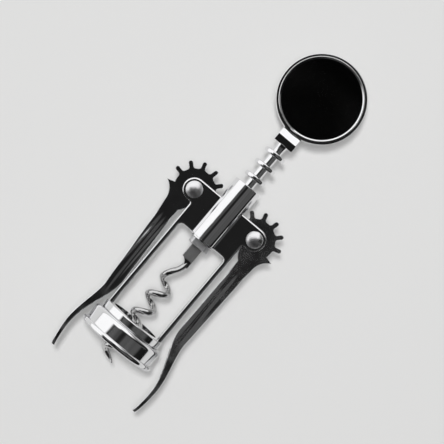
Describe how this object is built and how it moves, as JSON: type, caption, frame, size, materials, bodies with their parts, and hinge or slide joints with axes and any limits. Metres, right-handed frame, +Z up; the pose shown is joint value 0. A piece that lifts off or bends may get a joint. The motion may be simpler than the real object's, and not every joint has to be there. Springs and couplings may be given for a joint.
{
  "type": "corkscrew",
  "caption": "Twin-lever corkscrew: sheet frame on a bottle bell, geared levers meshing with a ringed spindle that carries a worm below and a round medallion head above.",
  "frame": {"origin": "centre of the bell's lower rim, where the bell meets the bottle", "axes": "+Z up the spindle towards the head, -Y towards the front face of the head, +X to the right seen from the front"},
  "size_m": [0.0569, 0.0366, 0.1701],
  "materials": {
    "frame_chrome": "polished chrome plate on stamped steel",
    "rivet_chrome": "polished chrome plate",
    "lever_chrome": "polished chrome plate on cast zinc",
    "spindle_chrome": "polished chrome plate on turned steel",
    "worm_steel": "plated wire, slightly dull",
    "head_chrome": "polished chrome plate on cast zinc",
    "label_black": "gloss black print, left blank",
    "clear_resin": "clear cast resin"
  },
  "bodies": {
    "frame": {"front_shell": "frame_chrome", "rear_shell": "frame_chrome", "bell_ring": "frame_chrome", "bell_cup": "frame_chrome", "left_rivet_stud": "rivet_chrome", "left_rivet_socket": "rivet_chrome", "right_rivet_stud": "rivet_chrome", "right_rivet_socket": "rivet_chrome"},
    "slider": {"stop_washer": "spindle_chrome"},
    "spindle": {"rack_rod": "spindle_chrome", "stop_collar": "spindle_chrome", "worm": "worm_steel", "worm_pin": "worm_steel", "head_body": "head_chrome", "head_label": "label_black", "head_dome": "clear_resin"},
    "left_lever": {"left_lever": "lever_chrome"},
    "right_lever": {"right_lever": "lever_chrome"}
  },
  "joints": [
    {"name": "spindle_slide", "type": "slide", "parent": "frame", "child": "slider", "axis": [0, 0, -1], "range_m": [0, 0.0225]},
    {"name": "spindle_turn", "type": "hinge", "parent": "slider", "child": "spindle", "pos_m": [0, 0, 0.0712], "axis": [0, 0, 1], "continuous": true},
    {"name": "left_lever_pivot", "type": "hinge", "parent": "frame", "child": "left_lever", "pos_m": [-0.01643, 0, 0.0712], "axis": [0, 1, 0], "range_deg": [0, 106]},
    {"name": "right_lever_pivot", "type": "hinge", "parent": "frame", "child": "right_lever", "pos_m": [0.01643, 0, 0.0712], "axis": [0, -1, 0], "range_deg": [0, 106]}
  ],
  "couplings": [
    {"joint": "left_lever_pivot", "follows": "spindle_slide", "rad_per_m": 81.431},
    {"joint": "right_lever_pivot", "follows": "spindle_slide", "rad_per_m": 81.431}
  ]
}
